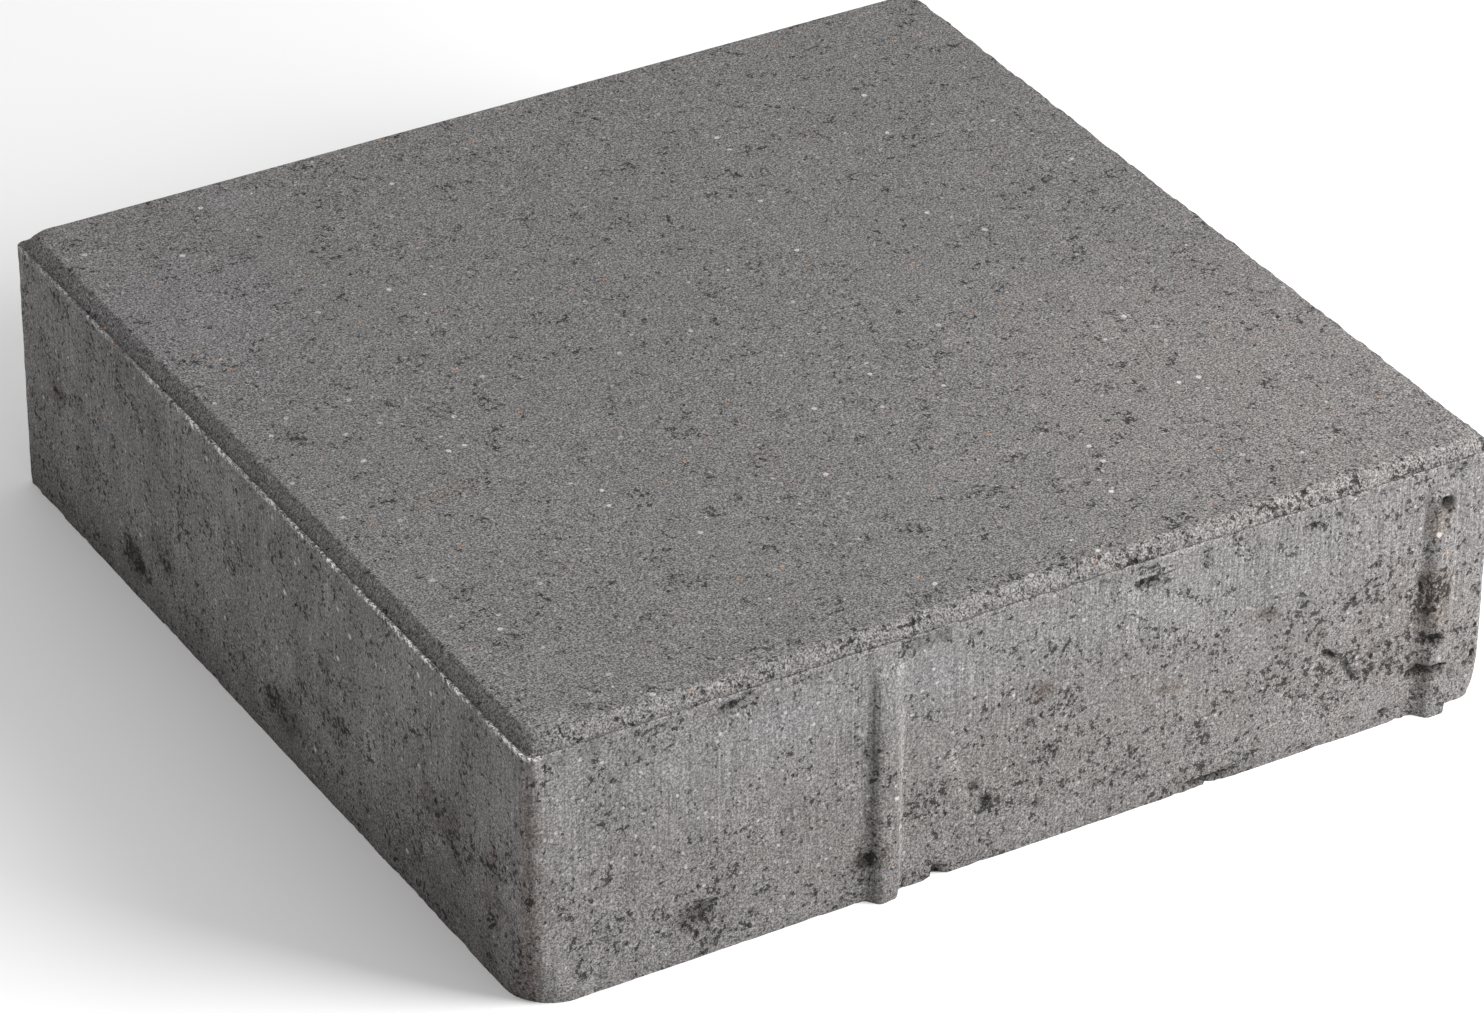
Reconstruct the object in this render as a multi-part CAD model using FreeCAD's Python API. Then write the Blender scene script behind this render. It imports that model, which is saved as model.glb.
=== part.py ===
import FreeCAD, Part
import math
import os

from FreeCAD import Vector

# Concrete paving slab: one pressed casting, stored lying on its bed face.
# Origin: centre of the body's bottom face. +Z up, +X along the ribbed joint face,
# -Y out of the ribbed joint face. Sizes are millimetres.

# Body
BODY_LENGTH = 297.0
BODY_WIDTH = 297.0
BODY_HEIGHT = 82.5
CORNER_RADIUS = 3.0

# Chamfer round the walking face. The press plate has rounder corners than the mould.
CHAMFER_INSET = 4.0
CHAMFER_DROP = 4.5
PLATE_CORNER_RADIUS = 9.0

# Foot corners worn round, in plan radius and in height: the front left one and the front right one
LEFT_WEAR_RADIUS = 13.0
LEFT_WEAR_HEIGHT = 30.0
RIGHT_WEAR_RADIUS = 7.0
RIGHT_WEAR_HEIGHT = 14.0

# Spacer ribs on the -Y joint face. Places are measured from that face's -X end.
RIB_PLACES = (105.5, 280.0)
RIB_BASE_WIDTH = 11.5
RIB_CREST_WIDTH = 7.0
RIB_FOOT_PROTRUSION = 3.8
RIB_HEAD_PROTRUSION = 2.4
RIB_HEAD_BELOW_TOP = 8.5
RIB_RUNOUT_LENGTH = 8.0
RIB_ROOT_DEPTH = 2.0
RIB_CREST_ROUND = RIB_HEAD_PROTRUSION / 2


def rounded_outline(length, width, radius, height):
    """A closed outline of four sides and four round corners, centred on the Z axis."""
    half_x = length / 2
    half_y = width / 2
    edges = []
    start_angle = 0.0
    for sign_x, sign_y in ((1, 1), (-1, 1), (-1, -1), (1, -1)):
        centre = Vector(sign_x * (half_x - radius), sign_y * (half_y - radius), height)
        end_angle = start_angle + math.pi / 2
        arc = Part.ArcOfCircle(Part.Circle(centre, Vector(0, 0, 1), radius), start_angle, end_angle)
        edges.append(arc.toShape())
        start_angle = end_angle
    sides = []
    for corner, next_corner in zip(edges, edges[1:] + edges[:1]):
        sides.append(corner)
        sides.append(Part.makeLine(corner.Vertexes[-1].Point, next_corner.Vertexes[0].Point))
    return Part.Wire(sides)


def make_body():
    """The square block with its upright corners rounded and its top edge chamfered."""
    shoulder = BODY_HEIGHT - CHAMFER_DROP
    foot_outline = rounded_outline(BODY_LENGTH, BODY_WIDTH, CORNER_RADIUS, 0)
    shoulder_outline = rounded_outline(BODY_LENGTH, BODY_WIDTH, CORNER_RADIUS, shoulder)
    top_length = BODY_LENGTH - 2 * CHAMFER_INSET
    top_width = BODY_WIDTH - 2 * CHAMFER_INSET
    top_outline = rounded_outline(top_length, top_width, PLATE_CORNER_RADIUS, BODY_HEIGHT)
    trunk = Part.Face(foot_outline).extrude(Vector(0, 0, shoulder))
    crown = Part.makeLoft([shoulder_outline, top_outline], True, True)
    return trunk.fuse(crown).removeSplitter()


def make_corner_wear(sign_x, radius, height):
    """What wear takes off a front foot corner: all of the corner outside an upright cone.

    The cone has the wear radius at the bed face, and reaches the unworn corner at the wear height.
    """
    centre_x = sign_x * (BODY_LENGTH / 2 - radius)
    centre_y = -BODY_WIDTH / 2 + radius
    unworn_reach = math.sqrt(2) * (radius - CORNER_RADIUS) + CORNER_RADIUS
    cone = Part.makeCone(radius, unworn_reach, height, Vector(centre_x, centre_y, 0))
    outer_x = sign_x * (BODY_LENGTH / 2 + CORNER_RADIUS)
    corner = Part.makeBox(
        radius + CORNER_RADIUS,
        radius + CORNER_RADIUS,
        height,
        Vector(min(centre_x, outer_x), centre_y - radius - CORNER_RADIUS, 0),
    )
    return corner.cut(cone)


def make_rib(place):
    """One upright spacer rib: flared sides, rounded crest, fading out below the chamfer.

    The rib's foot stands in the bed plane, and its root is sunk in the body so that the two fuse.
    """
    centre = place - BODY_LENGTH / 2
    face_y = -BODY_WIDTH / 2
    root_y = face_y + RIB_ROOT_DEPTH
    crest_y = face_y - RIB_FOOT_PROTRUSION
    flare = (RIB_BASE_WIDTH - RIB_CREST_WIDTH) / 2 / RIB_FOOT_PROTRUSION
    root_half = RIB_BASE_WIDTH / 2 + flare * RIB_ROOT_DEPTH
    crest_half = RIB_CREST_WIDTH / 2
    head_z = BODY_HEIGHT - RIB_HEAD_BELOW_TOP

    plan = Part.makePolygon([
        Vector(centre - root_half, root_y, 0),
        Vector(centre - crest_half, crest_y, 0),
        Vector(centre + crest_half, crest_y, 0),
        Vector(centre + root_half, root_y, 0),
        Vector(centre - root_half, root_y, 0),
    ])
    column = Part.Face(plan).extrude(Vector(0, 0, head_z))

    left = centre - root_half
    profile = Part.makePolygon([
        Vector(left, root_y, 0),
        Vector(left, crest_y, 0),
        Vector(left, face_y - RIB_HEAD_PROTRUSION, head_z - RIB_RUNOUT_LENGTH),
        Vector(left, face_y, head_z),
        Vector(left, root_y, head_z),
        Vector(left, root_y, 0),
    ])
    envelope = Part.Face(profile).extrude(Vector(2 * root_half, 0, 0))

    rib = column.common(envelope)
    crest_edges = [edge for edge in rib.Edges if is_crest_edge(edge, face_y)]
    return rib.makeFillet(RIB_CREST_ROUND, crest_edges)


def is_crest_edge(edge, face_y):
    """Whether an edge is one of the two long edges of a rib's crest."""
    is_long = edge.BoundBox.ZLength > RIB_RUNOUT_LENGTH
    return is_long and edge.CenterOfMass.y < face_y - RIB_HEAD_PROTRUSION / 2


def main():
    """Build the slab and write its one solid."""
    os.makedirs("parts", exist_ok=True)
    slab = make_body()
    slab = slab.cut(make_corner_wear(-1, LEFT_WEAR_RADIUS, LEFT_WEAR_HEIGHT))
    slab = slab.cut(make_corner_wear(1, RIGHT_WEAR_RADIUS, RIGHT_WEAR_HEIGHT))
    for place in RIB_PLACES:
        slab = slab.fuse(make_rib(place))
    slab.removeSplitter().Solids[0].exportStep("parts/paving_slab.step")


main()
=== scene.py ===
"""Concrete paving slab: the weathered surface of one pressed casting, and its plain studio."""

import logging
import math
from dataclasses import dataclass
from enum import Enum
from typing import Iterable, Sequence

import bmesh
import bpy
import numpy as np
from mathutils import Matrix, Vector


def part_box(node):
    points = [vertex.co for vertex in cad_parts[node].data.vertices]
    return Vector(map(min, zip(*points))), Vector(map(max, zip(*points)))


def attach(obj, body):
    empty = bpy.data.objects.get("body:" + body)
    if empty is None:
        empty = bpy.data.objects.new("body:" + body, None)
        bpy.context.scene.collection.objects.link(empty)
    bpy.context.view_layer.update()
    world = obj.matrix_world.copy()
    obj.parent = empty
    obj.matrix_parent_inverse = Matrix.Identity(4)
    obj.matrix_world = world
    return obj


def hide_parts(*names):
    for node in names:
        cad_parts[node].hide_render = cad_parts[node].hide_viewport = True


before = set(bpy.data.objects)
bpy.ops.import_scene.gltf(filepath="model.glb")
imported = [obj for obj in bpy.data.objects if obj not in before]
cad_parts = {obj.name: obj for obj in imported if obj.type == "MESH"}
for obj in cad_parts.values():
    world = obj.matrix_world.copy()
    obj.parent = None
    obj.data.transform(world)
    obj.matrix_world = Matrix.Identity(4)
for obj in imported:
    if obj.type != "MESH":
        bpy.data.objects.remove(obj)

log = logging.getLogger("paving_slab")

NODE = "paving_slab"
BODY = "root"
Socket = bpy.types.NodeSocket
MM = 0.001
ON_OUTLINE = 1e-6
RIM_ZONE = 5.0
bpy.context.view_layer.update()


class Joint(Enum):
    """The four upright joint faces, each by the direction it looks in."""

    FRONT = (0.0, -1.0)
    LEFT = (-1.0, 0.0)
    BACK = (0.0, 1.0)
    RIGHT = (1.0, 0.0)


# ---- noise


@dataclass(frozen=True)
class Noise:
    """Repeatable three-dimensional noise, the same on each run.

    Args:
        seed: Which pattern this is.
    """

    seed: int

    def _hash(self, cells: np.ndarray, salt: int) -> np.ndarray:
        """Give each lattice cell its own number from 0 to 1.

        Args:
            cells: Whole cell indices, one row of three a point.
            salt: Which of the cell's numbers to give.

        Returns:
            One number a row.
        """
        x, y, z = (cells[:, i].astype(np.int64).astype(np.uint32) for i in range(3))
        mixed = x * np.uint32(374761393) + y * np.uint32(668265263) + z * np.uint32(2246822519)
        mixed = mixed + np.uint32((self.seed * 40503 + salt * 9176 + 77) % 2**32)
        mixed = (mixed ^ (mixed >> np.uint32(13))) * np.uint32(1274126177)
        mixed = (mixed ^ (mixed >> np.uint32(15))) * np.uint32(2654435769)
        mixed = mixed ^ (mixed >> np.uint32(16))
        return mixed.astype(np.float64) / 4294967295.0

    def smooth(self, points: np.ndarray, size: float) -> np.ndarray:
        """Smooth noise from -1 to 1.

        Args:
            points: Places in millimetres, one row a point.
            size: Width of one lattice cell in millimetres.

        Returns:
            One value a point.
        """
        scaled = points / size
        cell = np.floor(scaled)
        part = scaled - cell
        ease = part * part * (3.0 - 2.0 * part)
        total = np.zeros(len(points))
        for corner in np.ndindex(2, 2, 2):
            step = np.array(corner, dtype=np.float64)
            weight = np.prod(np.where(step > 0, ease, 1.0 - ease), axis=1)
            total += weight * self._hash(cell + step, 0)
        return 2.0 * total - 1.0

    def layered(self, points: np.ndarray, size: float, layers: int) -> np.ndarray:
        """Smooth noise with finer and weaker noise on top, from about -1 to 1.

        Args:
            points: Places in millimetres, one row a point.
            size: Width of the coarsest cell in millimetres.
            layers: How many halvings of the cell are added up.

        Returns:
            One value a point.
        """
        total = np.zeros(len(points))
        weight = 1.0
        full = 0.0
        for layer in range(layers):
            shifted = points + 17.3 * layer
            total += weight * self.smooth(shifted, size / 2**layer)
            full += weight
            weight *= 0.55
        return total / full * 1.4

    def pebbles(self, points: np.ndarray, size: float) -> tuple[np.ndarray, np.ndarray]:
        """Distance to the nearest of the points scattered one a cell.

        Args:
            points: Places in millimetres, one row a point.
            size: Width of one cell in millimetres.

        Returns:
            The distance as a share of the cell, and the nearest point's own number from 0 to 1.
        """
        scaled = points / size
        cell = np.floor(scaled)
        nearest = np.full(len(points), 9.0)
        number = np.zeros(len(points))
        for offset in np.ndindex(3, 3, 3):
            other = cell + np.array(offset, dtype=np.float64) - 1.0
            jitter = np.stack([self._hash(other, salt) for salt in (1, 2, 3)], axis=1)
            gap = np.linalg.norm(other + jitter - scaled, axis=1)
            closer = gap < nearest
            nearest = np.where(closer, gap, nearest)
            number = np.where(closer, self._hash(other, 4), number)
        return nearest, number


def fade(value: np.ndarray, low: float, high: float) -> np.ndarray:
    """Ease from 0 at low to 1 at high.

    Args:
        value: What is eased.
        low: Where the result is 0.
        high: Where the result is 1. It may be below low.

    Returns:
        One value from 0 to 1 for each value given.
    """
    share = np.clip((value - low) / (high - low), 0.0, 1.0)
    return share * share * (3.0 - 2.0 * share)


# ---- marks


@dataclass(frozen=True)
class Hollow:
    """A hole, slot or chip in a joint face, in millimetres.

    Args:
        across: Its middle, from the face's left-hand end as seen from outside.
        up: Its middle, above the bed face.
        half_length: Half its length along the slope.
        half_height: Half its height across the slope.
        depth: How deep it goes.
        slope: Its turn from level in degrees, positive where its right-hand end is higher.
    """

    across: float
    up: float
    half_length: float
    half_height: float
    depth: float
    slope: float = 0.0

    def cover(self, across: np.ndarray, up: np.ndarray, ragged: np.ndarray) -> np.ndarray:
        """How far inside the hollow each place is.

        Args:
            across: Places along the face.
            up: Places above the bed.
            ragged: Noise from -1 to 1 that breaks up the rim.

        Returns:
            0 outside and 1 at the floor of the hollow.
        """
        turn = math.radians(self.slope)
        dx = across - self.across
        dz = up - self.up
        along = dx * math.cos(turn) + dz * math.sin(turn)
        over = dz * math.cos(turn) - dx * math.sin(turn)
        reach = np.hypot(along / self.half_length, over / self.half_height) + 0.45 * ragged
        return fade(reach, 1.15, 0.40)


@dataclass(frozen=True)
class Patch:
    """A soft-edged area of a face that is tinted or coarser than the rest, in millimetres.

    Args:
        across: Its middle along the face.
        up: Its middle above the bed, or from the front edge on the walking face.
        half_length: Half its length.
        half_height: Half its height.
        tint: What the colour is multiplied by, as red, green and blue.
        grit: What is added to the coarseness.
    """

    across: float
    up: float
    half_length: float
    half_height: float
    tint: tuple[float, float, float] = (1.0, 1.0, 1.0)
    grit: float = 0.0

    def cover(self, across: np.ndarray, up: np.ndarray, ragged: np.ndarray) -> np.ndarray:
        """How strongly the patch shows at each place, from 0 to 1.

        Args:
            across: Places along the face.
            up: Places above the bed.
            ragged: Noise from -1 to 1 that breaks up the rim.

        Returns:
            One share a place.
        """
        reach = np.hypot((across - self.across) / self.half_length, (up - self.up) / self.half_height)
        return fade(reach + 0.65 * ragged, 1.25, 0.25)


GREY = (1.0, 1.0, 1.0)
SOIL = (0.66, 0.62, 0.61)
DEEP_SOIL = (0.52, 0.48, 0.47)
BROWN = (0.74, 0.68, 0.64)
PALE = (1.28, 1.28, 1.27)
LIME = (1.12, 1.14, 1.16)

FRONT_HOLLOWS = (
    Hollow(48.5, 13.0, 6.5, 4.2, 1.1, 8.0),
    Hollow(100.0, 13.0, 4.5, 3.0, 1.2),
    Hollow(122.0, 1.0, 3.2, 2.6, 2.6),
    Hollow(64.0, 77.2, 1.6, 1.2, 1.2),
    Hollow(57.0, 74.5, 3.5, 1.6, 0.8),
    Hollow(83.0, 75.5, 4.0, 1.8, 0.7),
    Hollow(133.5, 72.0, 2.6, 1.3, 0.6),
    Hollow(137.0, 19.0, 3.2, 2.0, 1.6, -20.0),
    Hollow(133.0, 25.0, 2.6, 1.6, 1.3),
    Hollow(186.5, 71.6, 5.8, 1.3, 1.9, 3.0),
    Hollow(203.5, 72.0, 2.2, 1.8, 1.1),
    Hollow(218.0, 71.5, 7.0, 1.2, 0.9, -3.0),
    Hollow(236.5, 72.3, 3.2, 1.3, 1.8),
    Hollow(245.5, 73.0, 2.0, 1.6, 1.3),
    Hollow(154.0, 47.5, 2.6, 2.2, 0.7, 30.0),
    Hollow(224.0, 48.5, 3.0, 1.6, 0.9),
    Hollow(246.5, 28.3, 4.2, 1.3, 2.1, -38.0),
    Hollow(252.5, 21.5, 4.6, 1.0, 1.5, -58.0),
    Hollow(262.0, 26.5, 4.0, 1.5, 1.2, 25.0),
    Hollow(265.5, 19.5, 2.6, 1.4, 1.2, -30.0),
    Hollow(207.0, 1.6, 9.5, 1.7, 2.4, 3.0),
    Hollow(266.0, 3.8, 3.0, 1.4, 1.3),
    Hollow(280.5, 67.2, 2.8, 1.9, 2.4, -12.0),
    Hollow(279.5, 61.5, 3.6, 3.0, 0.9),
    Hollow(278.3, 25.2, 3.4, 1.5, 2.6),
    Hollow(278.0, 15.2, 6.4, 1.1, 2.5, 6.0),
    Hollow(273.0, 13.5, 2.0, 1.0, 1.6, 35.0),
    Hollow(293.8, 13.8, 1.7, 2.0, 1.5),
    Hollow(286.0, 9.8, 2.4, 1.3, 1.3, -20.0),
    Hollow(275.0, 43.0, 1.6, 3.6, 1.1, 0.0),
    Hollow(262.0, 37.0, 2.6, 1.3, 0.9),
    Hollow(293.0, 35.0, 1.8, 1.8, 0.9),
    Hollow(192.0, 35.5, 4.6, 0.9, 0.9, -8.0),
    Hollow(24.0, 14.0, 2.6, 1.2, 0.8),
    Hollow(35.0, 22.5, 2.4, 1.5, 0.7),
    Hollow(29.0, 30.0, 7.5, 0.9, 0.6, 18.0),
    Hollow(78.0, 48.0, 4.0, 1.6, 0.6, 8.0),
    Hollow(122.5, 50.5, 2.0, 1.0, 0.8),
    Hollow(72.5, 66.0, 2.0, 1.8, 0.6),
    Hollow(46.0, 62.0, 3.0, 1.6, 0.6),
    Hollow(179.0, 50.0, 1.6, 1.2, 0.8),
    Hollow(194.0, 54.0, 3.0, 1.6, 0.8),
    Hollow(152.0, 12.0, 4.5, 1.6, 0.9, -35.0),
    Hollow(200.0, 17.0, 1.4, 4.0, 0.9),
    Hollow(20.0, 4.5, 3.0, 1.1, 0.8),
)

FRONT_PATCHES = (
    Patch(90.0, 66.0, 110.0, 13.0, (1.05, 1.055, 1.062), -0.20),
    Patch(215.0, 62.0, 60.0, 13.0, (1.04, 1.045, 1.052), -0.12),
    Patch(75.0, 66.0, 14.0, 7.0, (1.05, 1.06, 1.08), -0.15),
    Patch(120.0, 66.0, 12.0, 9.0, (1.07, 1.08, 1.10), -0.2),
    # Painted shade: the whole front joint face made a little darker, so that the lamp lights it less
    # brightly.
    Patch(150.0, 40.0, 260.0, 90.0, (0.93, 0.93, 0.93), 0.0),
    Patch(150.0, 25.0, 160.0, 28.0, (0.965, 0.955, 0.94), 0.22),
    Patch(265.0, 30.0, 34.0, 34.0, (1.0, 0.985, 0.97), 0.30),
    Patch(48.5, 13.0, 9.0, 6.5, (0.80, 0.78, 0.76), 0.75),
    Patch(100.0, 13.0, 6.5, 4.5, (0.84, 0.82, 0.80), 0.6),
    Patch(137.0, 20.0, 7.0, 5.0, GREY, 0.55),
    Patch(154.0, 48.0, 4.2, 4.2, BROWN, 0.3),
    Patch(224.0, 49.0, 5.0, 3.2, BROWN, 0.4),
    Patch(194.0, 35.0, 6.0, 2.6, (0.90, 0.83, 0.77), 0.2),
    Patch(126.0, 35.0, 2.6, 6.0, PALE, 0.3),
    Patch(197.8, 53.0, 2.4, 2.2, PALE, 0.0),
    Patch(239.5, 27.0, 3.4, 2.2, PALE, 0.1),
    Patch(180.0, 70.5, 2.6, 1.8, PALE, 0.1),
    Patch(167.0, 66.0, 1.7, 1.5, PALE, 0.0),
    Patch(220.0, 42.0, 2.4, 1.8, PALE, 0.0),
    Patch(139.0, 18.5, 1.8, 1.4, PALE, 0.0),
    Patch(56.0, 4.0, 3.0, 2.0, LIME, 0.0),
    Patch(148.0, 8.0, 2.6, 1.8, LIME, 0.0),
    Patch(278.5, 62.0, 5.0, 6.5, (0.98, 0.93, 0.86), 0.5),
    Patch(278.0, 40.0, 5.0, 10.0, (0.97, 0.92, 0.86), 0.5),
    Patch(255.0, 22.0, 9.0, 9.0, GREY, 0.45),
    Patch(206.0, 3.0, 14.0, 5.0, (0.86, 0.84, 0.82), 0.55),
    Patch(240.0, 71.0, 12.0, 4.0, GREY, 0.55),
    Patch(188.0, 71.5, 10.0, 3.2, GREY, 0.45),
    Patch(62.0, 75.0, 14.0, 3.0, (0.93, 0.92, 0.91), 0.5),
    Patch(0.5, 36.0, 4.5, 70.0, (0.72, 0.68, 0.66), 0.10),
    # Painted shade down the left flank of the rib at 105.5 and a painted highlight down its right flank,
    # where the lamp from the right falls on it.
    Patch(101.0, 34.0, 1.7, 46.0, (0.80, 0.79, 0.79), 0.0),
    Patch(110.0, 34.0, 1.5, 40.0, (1.30, 1.30, 1.28), -0.1),
    Patch(105.5, 70.0, 3.4, 4.0, (1.14, 1.14, 1.14), 0.0),
    # Painted shade down the left flank of the rib at 280 and a painted highlight down its right flank,
    # where the lamp from the right falls on it.
    Patch(275.6, 38.0, 1.7, 30.0, (0.80, 0.78, 0.76), 0.1),
    Patch(284.4, 47.0, 1.5, 16.0, (1.28, 1.27, 1.25), 0.0),
    # Painted shade inside the three deepest hollows beside the rib at 280.
    Patch(280.5, 67.2, 3.2, 2.2, (0.34, 0.32, 0.30), 0.5),
    Patch(278.3, 25.2, 3.6, 1.8, (0.42, 0.40, 0.38), 0.4),
    Patch(278.0, 15.2, 6.6, 1.3, (0.45, 0.43, 0.41), 0.4),
)

LEFT_HOLLOWS = (
    Hollow(71.0, 13.5, 7.5, 4.2, 0.35, -8.0),
    Hollow(26.0, 41.0, 2.8, 2.4, 1.0, 25.0),
    Hollow(22.0, 48.0, 5.0, 1.8, 0.6),
    Hollow(38.0, 46.0, 2.4, 2.4, 0.7),
    Hollow(107.5, 33.5, 1.8, 1.4, 0.9),
    Hollow(103.5, 68.5, 2.2, 1.8, 0.8),
    Hollow(118.0, 78.2, 2.6, 1.4, 1.2),
    Hollow(186.0, 42.0, 2.2, 2.6, 0.8),
    Hollow(168.0, 63.0, 2.4, 1.4, 0.6, 20.0),
    Hollow(249.5, 33.0, 1.4, 4.0, 0.8),
    Hollow(278.0, 17.5, 3.2, 1.8, 1.3, -12.0),
    Hollow(278.5, 40.0, 1.8, 2.6, 0.8),
    Hollow(11.0, 25.0, 2.2, 1.5, 0.7),
    Hollow(250.0, 78.0, 3.0, 1.4, 1.3, 20.0),
    Hollow(284.0, 24.0, 6.0, 0.9, 0.9, -28.0),
    Hollow(289.0, 9.0, 4.0, 0.9, 1.0, -30.0),
)

LEFT_PATCHES = (
    Patch(71.0, 13.5, 11.0, 6.5, DEEP_SOIL, 1.0),
    Patch(25.0, 42.0, 7.0, 6.0, SOIL, 0.9),
    Patch(38.0, 46.0, 5.0, 5.0, (0.80, 0.77, 0.76), 0.7),
    Patch(88.0, 25.0, 12.0, 6.0, (0.76, 0.73, 0.72), 0.6),
    Patch(161.0, 14.0, 10.0, 8.0, SOIL, 0.8),
    Patch(195.0, 27.0, 12.0, 8.0, (0.82, 0.80, 0.80), 0.5),
    Patch(186.0, 42.0, 6.0, 5.0, (0.80, 0.77, 0.76), 0.6),
    Patch(250.0, 33.0, 14.0, 9.0, (0.78, 0.75, 0.74), 0.7),
    Patch(279.0, 30.0, 6.0, 18.0, (0.82, 0.78, 0.76), 0.5),
    Patch(30.0, 62.0, 12.0, 9.0, (1.10, 1.10, 1.09), -0.1),
    Patch(136.0, 67.0, 9.0, 8.0, (1.22, 1.22, 1.22), -0.1),
    Patch(188.0, 66.0, 7.0, 6.0, (1.14, 1.14, 1.14), -0.1),
    Patch(98.0, 45.0, 2.6, 36.0, (1.16, 1.16, 1.16), -0.2),
    Patch(146.5, 14.0, 3.0, 7.0, (1.35, 1.33, 1.30), 0.0),
    Patch(284.0, 55.0, 6.0, 30.0, (1.07, 1.07, 1.08), -0.1),
    Patch(232.0, 62.0, 30.0, 14.0, (1.05, 1.05, 1.06), 0.0),
    Patch(262.0, 24.0, 34.0, 30.0, (0.80, 0.78, 0.78), 0.1),
    Patch(296.0, 36.0, 4.0, 70.0, (0.92, 0.87, 0.84), 0.1),
)

TOP_PATCHES = (
    Patch(24.0, 235.0, 34.0, 40.0, (1.03, 1.04, 1.07), 0.0),
    Patch(60.0, 285.0, 14.0, 12.0, (1.05, 1.06, 1.08), 0.0),
    Patch(150.0, 180.0, 90.0, 80.0, (0.97, 0.97, 0.97), 0.0),
    Patch(10.0, 8.0, 8.0, 4.0, (1.2, 1.2, 1.2), 0.2),
    Patch(5.0, 212.0, 8.0, 5.0, GREY, 0.5),
    Patch(17.0, 160.0, 4.5, 3.5, (0.9, 0.88, 0.87), 0.8),
    Patch(53.0, 227.0, 4.0, 3.0, GREY, 0.8),
    Patch(72.0, 127.0, 3.5, 4.0, GREY, 0.8),
    Patch(38.0, 114.0, 9.0, 5.0, (0.98, 0.94, 0.90), 0.4),
    Patch(121.0, 88.0, 6.0, 6.0, (0.94, 0.92, 0.92), 0.7),
    Patch(137.0, 38.0, 4.0, 4.0, (0.9, 0.9, 0.9), 0.9),
    Patch(130.0, 204.0, 12.0, 3.5, GREY, 0.6),
    Patch(80.0, 46.0, 9.0, 4.0, GREY, 0.6),
    Patch(56.0, 38.0, 6.0, 2.5, GREY, 0.8),
    Patch(168.0, 78.0, 4.0, 3.0, GREY, 0.7),
    Patch(213.0, 110.0, 3.5, 3.0, GREY, 0.8),
    Patch(258.0, 229.0, 3.0, 3.0, (0.9, 0.9, 0.9), 0.9),
    Patch(267.0, 177.0, 2.5, 2.5, GREY, 0.8),
    Patch(192.0, 63.0, 8.0, 2.5, GREY, 0.6),
    Patch(28.0, 264.0, 3.0, 2.5, (0.85, 0.83, 0.82), 0.8),
    Patch(150.0, 4.0, 170.0, 9.0, (1.02, 1.02, 1.01), 0.32),
    # Painted light: the walking face brightened towards its front right, nearest the lamp.
    Patch(250.0, 60.0, 80.0, 80.0, (1.13, 1.12, 1.105), 0.12),
)


# ---- edit mode by hand


def start_edit(piece: bpy.types.Object) -> None:
    """Make a piece the one selected object and open it in edit mode.

    Args:
        piece: The piece to shape.
    """
    bpy.ops.object.select_all(action="DESELECT")
    piece.select_set(True)
    bpy.context.view_layer.objects.active = piece
    bpy.ops.object.mode_set(mode="EDIT")


def end_edit() -> None:
    """Leave edit mode."""
    bpy.ops.object.mode_set(mode="OBJECT")


def cut_at(piece: bpy.types.Object, axis: int, place: float) -> None:
    """Cut all of a piece's faces by one plane.

    Args:
        piece: The piece, open in edit mode.
        axis: Which axis the plane stands across.
        place: Where the plane is on that axis, in metres.
    """
    co = Vector((0.0, 0.0, 0.0))
    co[axis] = place
    no = Vector((0.0, 0.0, 0.0))
    no[axis] = 1.0
    bpy.ops.mesh.select_all(action="SELECT")
    bpy.ops.mesh.bisect(plane_co=co, plane_no=no)


def slice_strip(piece: bpy.types.Object, axis: int, low: float, high: float, cuts: int) -> None:
    """Divide the strip of faces between two planes into equal slices.

    Args:
        piece: The piece, open in edit mode.
        axis: The axis that the strip is measured along.
        low: The strip's lower end on that axis, in metres.
        high: The strip's upper end.
        cuts: How many cuts to make in it.
    """
    bpy.ops.mesh.select_all(action="DESELECT")
    grid = bmesh.from_edit_mesh(piece.data)
    for edge in grid.edges:
        first, second = (vert.co[axis] for vert in edge.verts)
        middle = (first + second) / 2
        if abs(first - second) > 1e-7 and low < middle < high:
            edge.select_set(True)
    bmesh.update_edit_mesh(piece.data)
    bpy.ops.mesh.subdivide(number_cuts=cuts, quadcorner="INNERVERT")


# ---- the slab


@dataclass(frozen=True)
class Rib:
    """One upright spacer rib on the front joint face, in millimetres.

    Args:
        across: Its middle, from the face's left-hand end.
        base_width: Its width at the face.
        crest_width: Its width at the crest.
        foot_proud: How far it stands out at the bed.
        head_proud: How far it stands out under its faded head.
        head_up: Height of the top of its faded head.
        runout: Height over which the head fades out.
    """

    across: float
    base_width: float = 11.5
    crest_width: float = 6.0
    foot_proud: float = 3.7
    head_proud: float = 2.3
    head_up: float = 74.0
    runout: float = 8.0

    def proud(self, across: np.ndarray, up: np.ndarray) -> np.ndarray:
        """How far the rib stands out at each place on the face.

        Args:
            across: Places along the face.
            up: Places above the bed.

        Returns:
            The height over the face in millimetres.
        """
        side = fade(np.abs(across - self.across), self.base_width / 2, self.crest_width / 2 - 0.8)
        share = np.clip(up / (self.head_up - self.runout), 0.0, 1.0)
        full = self.foot_proud + (self.head_proud - self.foot_proud) * share
        return side * full * fade(up, self.head_up, self.head_up - self.runout)


@dataclass(frozen=True)
class Wear:
    """A foot corner worn round, in millimetres.

    Args:
        side_x: -1 for the left corner and 1 for the right one.
        side_y: -1 for the front corner and 1 for the back one.
        radius: Its plan radius at the bed.
        height: Height over which it fades into the sound corner.
    """

    side_x: int
    side_y: int
    radius: float
    height: float


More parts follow.
